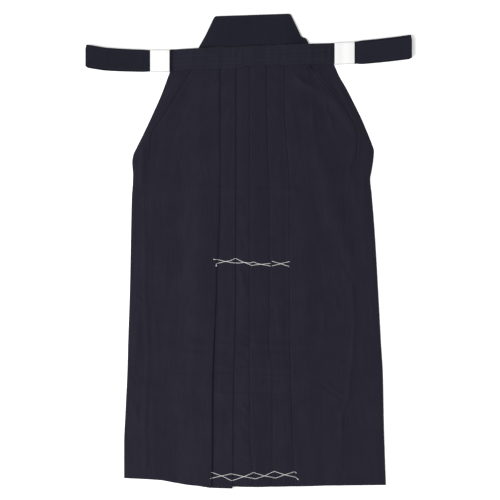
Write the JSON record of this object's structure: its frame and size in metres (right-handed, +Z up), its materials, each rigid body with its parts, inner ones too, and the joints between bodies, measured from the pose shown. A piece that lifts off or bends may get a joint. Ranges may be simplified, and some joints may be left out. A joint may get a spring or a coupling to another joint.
{
  "type": "kendo hakama",
  "caption": "Pleated divided kendo trousers with a waistband, a stiff back board and front ties folded up in paper bands, laid flat with the front up.",
  "frame": {"origin": "on the surface that the hakama lies on, under the middle of its bounding box", "axes": "+X towards the wearer's left, +Y from the hems towards the waist, +Z up from the surface, out of the front"},
  "size_m": [0.7411, 1.0767, 0.0154],
  "materials": {
    "navy_cloth": "matte, finely woven, pressed",
    "board_cloth": "matte, stretched over a stiff board",
    "white_paper": "matte white paper"
  },
  "bodies": {
    "root": {"front_leg_right": "navy_cloth", "front_leg_left": "navy_cloth", "back_leg_right": "navy_cloth", "back_leg_left": "navy_cloth", "gusset": "navy_cloth", "front_waistband": "navy_cloth", "front_tie_right": "navy_cloth", "front_tie_left": "navy_cloth", "back_tie_right": "navy_cloth", "back_tie_left": "navy_cloth", "back_board": "board_cloth", "paper_band_right": "white_paper", "paper_band_left": "white_paper"}
  },
  "joints": []
}
